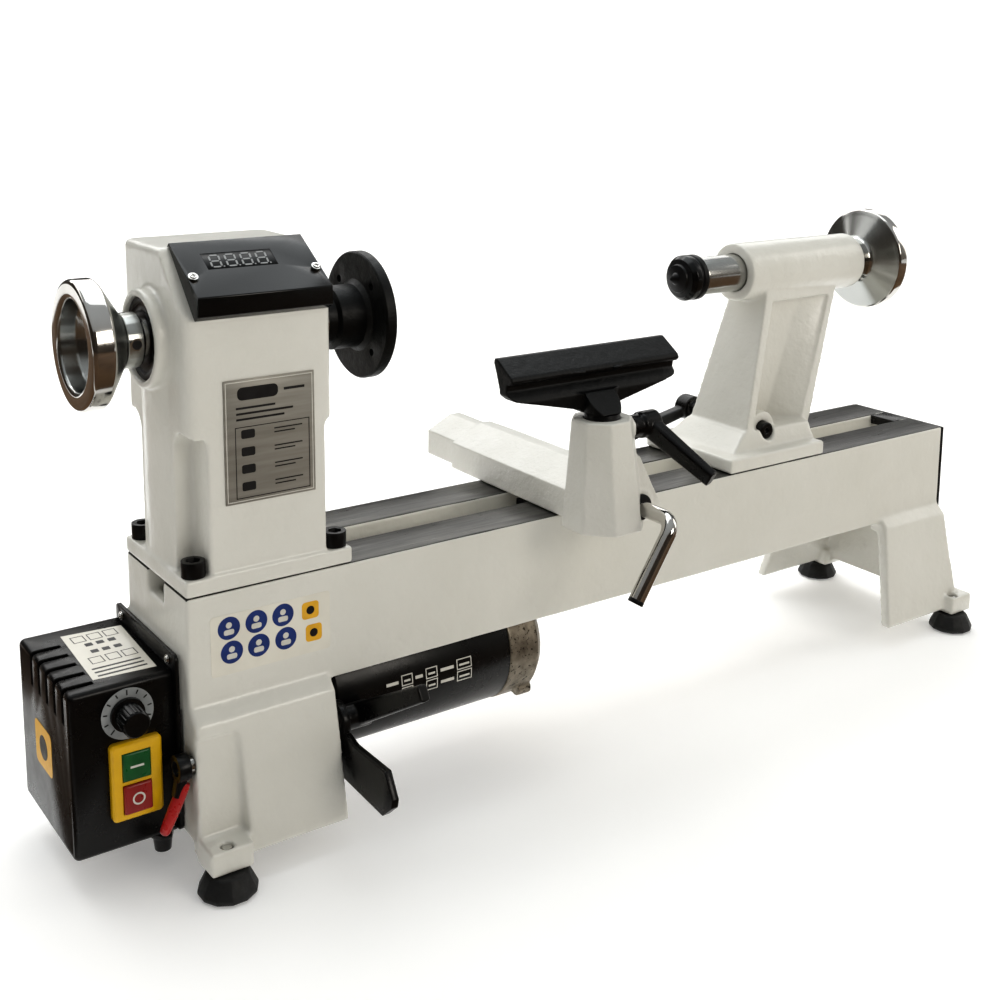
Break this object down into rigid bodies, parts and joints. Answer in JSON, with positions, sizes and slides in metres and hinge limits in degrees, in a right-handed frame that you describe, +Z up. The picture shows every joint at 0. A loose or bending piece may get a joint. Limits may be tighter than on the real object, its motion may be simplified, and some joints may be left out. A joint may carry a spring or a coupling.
{
  "type": "wood lathe",
  "caption": "Bench-top wood lathe with cast bed on flared legs, belt-driven headstock, sliding banjo with tool rest, and tailstock with live centre.",
  "frame": {"origin": "bench surface under the middle of the machine, on the spindle's centre plane to within a few millimetres of the footprint's centre", "axes": "+X along the bed from headstock to tailstock, +Y to the back, +Z up"},
  "size_m": [0.8003, 0.274, 0.3906],
  "materials": {
    "casting_enamel": "gloss enamel over cast iron",
    "black_paint": "satin black",
    "rough_casting": "black paint over rough sand casting",
    "black_oxide": "black oxide",
    "chrome": "polished",
    "steel": "turned",
    "cast_aluminium": "as cast",
    "rubber": "matt",
    "belt_rubber": "matt",
    "black_plastic": "satin",
    "window_plastic": "smoked gloss",
    "plate_foil": "satin foil",
    "circuit_board": "board",
    "yellow_plastic": "gloss",
    "green_plastic": "gloss",
    "red_plastic": "gloss",
    "red_grip": "vinyl dip",
    "brass": "turned"
  },
  "bodies": {
    "frame": {"bed_casting": "casting_enamel", "bed_end_plate": "black_paint", "rubber_feet": "rubber", "foot_studs": "steel", "headstock_casting": "casting_enamel", "headstock_bolts": "black_oxide", "spindle_bearings": "steel", "display_housing": "black_plastic", "display_window": "window_plastic", "rating_plate": "plate_foil", "control_box_shell": "black_paint", "control_box_flange": "black_paint", "control_board": "circuit_board", "dial_plate": "black_plastic", "speed_control": "black_plastic", "switch_frame": "yellow_plastic", "cable_gland": "black_plastic", "cover_screws": "chrome", "door_hinge": "black_oxide", "drive_belt": "belt_rubber"},
    "belt_door": {"belt_door": "black_paint"},
    "spindle": {"spindle_shaft": "steel", "spindle_pulley": "cast_aluminium", "spindle_handwheel": "chrome", "handwheel_set_screw": "black_oxide", "faceplate": "black_oxide"},
    "motor_carriage": {"motor_plate": "black_paint", "pivot_shaft": "steel", "motor_shell": "black_paint", "motor_end_cap": "cast_aluminium", "motor_bolts": "black_oxide", "brush_caps": "black_plastic", "tension_lever": "black_oxide", "tension_lever_grip": "red_grip"},
    "motor_rotor": {"motor_armature": "steel", "motor_pulley": "cast_aluminium"},
    "motor_lock": {"motor_lock_lever": "black_plastic"},
    "speed_knob": {"speed_knob": "black_plastic"},
    "start_button": {"start_button": "green_plastic"},
    "stop_button": {"stop_button": "red_plastic"},
    "tailstock": {"tailstock_casting": "casting_enamel", "tailstock_key": "black_oxide", "tailstock_clamp_bolt": "steel", "tailstock_clamp_plate": "steel"},
    "tailstock_lock": {"tailstock_clamp_lever": "black_oxide"},
    "quill": {"quill": "chrome", "live_centre_shank": "steel"},
    "live_centre": {"live_centre_head": "black_oxide"},
    "tail_wheel": {"feed_screw": "steel", "tail_handwheel": "chrome"},
    "quill_lock": {"quill_lock_lever": "black_plastic"},
    "banjo_clamp": {"banjo_clamp_plate": "steel"},
    "banjo_swivel": {"banjo_clamp_bolt": "steel"},
    "banjo": {"banjo_casting": "casting_enamel", "banjo_bushings": "black_plastic"},
    "banjo_lock": {"banjo_crank": "chrome", "crank_end_ring": "brass"},
    "rest_lock": {"rest_lock_lever": "black_plastic"},
    "rest_stem": {"rest_stem": "steel"},
    "tool_rest": {"tool_rest": "rough_casting"}
  },
  "joints": [
    {"name": "spindle_spin", "type": "hinge", "parent": "frame", "child": "spindle", "pos_m": [0, 0, 0.3315], "axis": [1, 0, 0], "continuous": true},
    {"name": "motor_tilt", "type": "hinge", "parent": "frame", "child": "motor_carriage", "pos_m": [-0.331, -0.053, 0.074], "axis": [1, 0, 0], "range_deg": [0, 5], "deforming": ["drive_belt"]},
    {"name": "motor_spin", "type": "hinge", "parent": "motor_carriage", "child": "motor_rotor", "pos_m": [-0.331, 0, 0.076], "axis": [1, 0, 0], "continuous": true},
    {"name": "motor_lock_turn", "type": "hinge", "parent": "motor_carriage", "child": "motor_lock", "pos_m": [-0.221, -0.053, 0.074], "axis": [1, 0, 0], "range_deg": [-30, 30]},
    {"name": "belt_door_swing", "type": "hinge", "parent": "frame", "child": "belt_door", "pos_m": [-0.243, 0.0535, 0.271], "axis": [0, 0, -1], "range_deg": [0, 110]},
    {"name": "speed_knob_turn", "type": "hinge", "parent": "frame", "child": "speed_knob", "pos_m": [-0.3655, -0.0376, 0.111], "axis": [0, 1, 0], "range_deg": [-135, 135]},
    {"name": "start_press", "type": "slide", "parent": "frame", "child": "start_button", "axis": [0, 1, 0], "range_m": [0, 0.003], "stiffness_N_per_m": 400, "springref_m": -0.001},
    {"name": "stop_press", "type": "slide", "parent": "frame", "child": "stop_button", "axis": [0, 1, 0], "range_m": [0, 0.003], "stiffness_N_per_m": 400, "springref_m": -0.001},
    {"name": "tailstock_slide", "type": "slide", "parent": "frame", "child": "tailstock", "axis": [1, 0, 0], "range_m": [-0.065, 0.15]},
    {"name": "tailstock_clamp_turn", "type": "hinge", "parent": "tailstock", "child": "tailstock_lock", "pos_m": [0.181, 0, 0.203], "axis": [0, 1, 0], "range_deg": [0, 80]},
    {"name": "tail_wheel_turn", "type": "hinge", "parent": "tailstock", "child": "tail_wheel", "pos_m": [0.269, 0, 0.3315], "axis": [1, 0, 0], "range_deg": [-1728, 5472]},
    {"name": "quill_slide", "type": "slide", "parent": "tailstock", "child": "quill", "axis": [1, 0, 0], "range_m": [-0.01201, 0.03801]},
    {"name": "live_centre_spin", "type": "hinge", "parent": "quill", "child": "live_centre", "pos_m": [0.114, 0, 0.3315], "axis": [1, 0, 0], "continuous": true},
    {"name": "quill_lock_turn", "type": "hinge", "parent": "tailstock", "child": "quill_lock", "pos_m": [0.217, 0.03, 0.3315], "axis": [0, 1, 0], "range_deg": [-60, 60]},
    {"name": "banjo_slide", "type": "slide", "parent": "frame", "child": "banjo_clamp", "axis": [1, 0, 0], "range_m": [-0.11, 0.065]},
    {"name": "banjo_swivel", "type": "hinge", "parent": "banjo_clamp", "child": "banjo_swivel", "pos_m": [-0.014, 0, 0.179], "axis": [0, 0, 1], "range_deg": [-20, 20]},
    {"name": "banjo_reach", "type": "slide", "parent": "banjo_swivel", "child": "banjo", "axis": [0, 1, 0], "range_m": [-0.06, 0.035]},
    {"name": "banjo_lock_turn", "type": "hinge", "parent": "banjo", "child": "banjo_lock", "pos_m": [-0.014, 0, 0.192], "axis": [0, 1, 0], "range_deg": [-60, 90]},
    {"name": "rest_lock_turn", "type": "hinge", "parent": "banjo", "child": "rest_lock", "pos_m": [-0.001, -0.085, 0.247], "axis": [1, 0, 0], "range_deg": [-40, 40]},
    {"name": "rest_lift", "type": "slide", "parent": "banjo", "child": "rest_stem", "axis": [0, 0, 1], "range_m": [0, 0.03]},
    {"name": "rest_swivel", "type": "hinge", "parent": "rest_stem", "child": "tool_rest", "pos_m": [-0.038, -0.085, 0.259], "axis": [0, 0, 1], "range_deg": [-90, 90]}
  ],
  "couplings": [
    {"joint": "motor_spin", "follows": "spindle_spin", "ratio": 1.2993},
    {"joint": "quill_slide", "follows": "tail_wheel_turn", "m_per_rad": 0.00039789}
  ]
}
